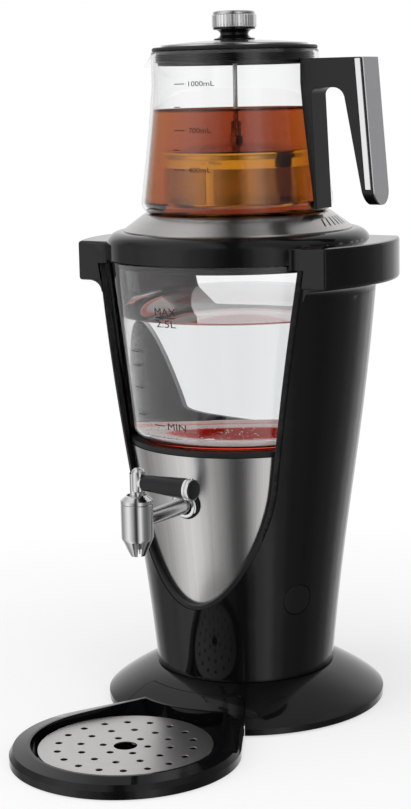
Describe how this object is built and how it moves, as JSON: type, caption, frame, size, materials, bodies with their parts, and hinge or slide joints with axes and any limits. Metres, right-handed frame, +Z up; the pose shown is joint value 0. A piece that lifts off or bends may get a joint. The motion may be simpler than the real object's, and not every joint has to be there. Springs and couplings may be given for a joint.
{
  "type": "samovar",
  "caption": "Electric samovar with a glass boiler in a black moulded body, a plug tap over a drip tray, and a glass teapot with an infuser on top.",
  "frame": {"origin": "on the axis of the boiler, in the plane of the table that the samovar stands on", "axes": "+Z up along the axis of the boiler, -Y forward towards the tap, +X to the right"},
  "size_m": [0.2324, 0.3411, 0.5],
  "materials": {
    "body_black": "satin moulded",
    "dark_plastic": "matte moulded",
    "rubber": "matte",
    "silicone": "satin translucent",
    "brushed": "brushed",
    "plain_steel": "satin",
    "chrome": "polished",
    "satin_plate": "satin with a polished edge",
    "boiler_glass": "clear",
    "lamp": "translucent",
    "element": "as cast",
    "board": "coated board with parts",
    "leads": "insulated wire",
    "brass": "turned"
  },
  "bodies": {
    "boiler": {"base_skirt": "body_black", "bottom_plate": "dark_plastic", "foot_ring": "rubber", "base_screws": "plain_steel", "housing": "body_black", "rear_cover": "body_black", "body_screws": "plain_steel", "front_panel": "brushed", "panel_trim": "dark_plastic", "boiler_base": "dark_plastic", "boiler_glass": "boiler_glass", "bottom_seal": "silicone", "heater_plate": "plain_steel", "heating_element": "element", "thermostat": "dark_plastic", "light_ring": "lamp", "heater_leads": "leads", "control_board": "board", "power_switch": "dark_plastic", "outlet_hose": "silicone", "hose_clamps": "plain_steel", "tap_body": "chrome", "tap_bonnet": "chrome", "tap_flange": "chrome", "tap_gasket": "rubber", "tap_washer": "silicone", "tap_nut": "brass", "cord_gland": "rubber"},
    "lever": {"tap_stem": "chrome", "lever_grip": "body_black", "lever_ring": "chrome", "lever_cap": "body_black"},
    "button": {"power_button": "body_black"},
    "tray": {"drip_tray": "body_black", "tray_feet": "rubber"},
    "plate": {"drip_plate": "brushed"},
    "cover": {"cover_ring": "body_black", "stand_ring": "brushed", "cover_seal": "rubber", "cover_screws": "plain_steel"},
    "teapot": {"teapot_glass": "boiler_glass", "teapot_handle": "body_black", "handle_trim": "chrome", "handle_plate": "satin_plate"},
    "lid": {"lid_plate": "brushed", "lid_ring": "dark_plastic", "lid_gasket": "rubber", "knob_neck": "body_black", "knob_ring": "chrome", "knob_cap": "satin_plate", "infuser_rod": "plain_steel", "rod_sleeve": "plain_steel", "rod_collar": "plain_steel", "infuser_cap": "plain_steel"},
    "basket": {"infuser_basket": "plain_steel"}
  },
  "joints": [
    {"name": "cover_lift", "type": "slide", "parent": "boiler", "child": "cover", "axis": [0, 0, 1], "range_m": [0, 0.06]},
    {"name": "teapot_lift", "type": "slide", "parent": "cover", "child": "teapot", "axis": [0, 0, 1], "range_m": [0, 0.08]},
    {"name": "lid_lift", "type": "slide", "parent": "teapot", "child": "lid", "axis": [0, 0, 1], "range_m": [0, 0.12]},
    {"name": "basket_twist", "type": "hinge", "parent": "lid", "child": "basket", "pos_m": [0, 0, 0.397], "axis": [0, 0, 1], "range_deg": [0, 30]},
    {"name": "tap_turn", "type": "hinge", "parent": "boiler", "child": "lever", "pos_m": [0, -0.138, 0.159], "axis": [0, 0, -1], "range_deg": [0, 90]},
    {"name": "power_push", "type": "slide", "parent": "boiler", "child": "button", "axis": [-0.8849, 0.4509, 0.1167], "range_m": [0, 0.002], "stiffness_N_per_m": 300},
    {"name": "tray_pull", "type": "slide", "parent": "boiler", "child": "tray", "axis": [0, -1, 0], "range_m": [0, 0.06]},
    {"name": "plate_lift", "type": "slide", "parent": "tray", "child": "plate", "axis": [0, 0, 1], "range_m": [0, 0.03]}
  ]
}
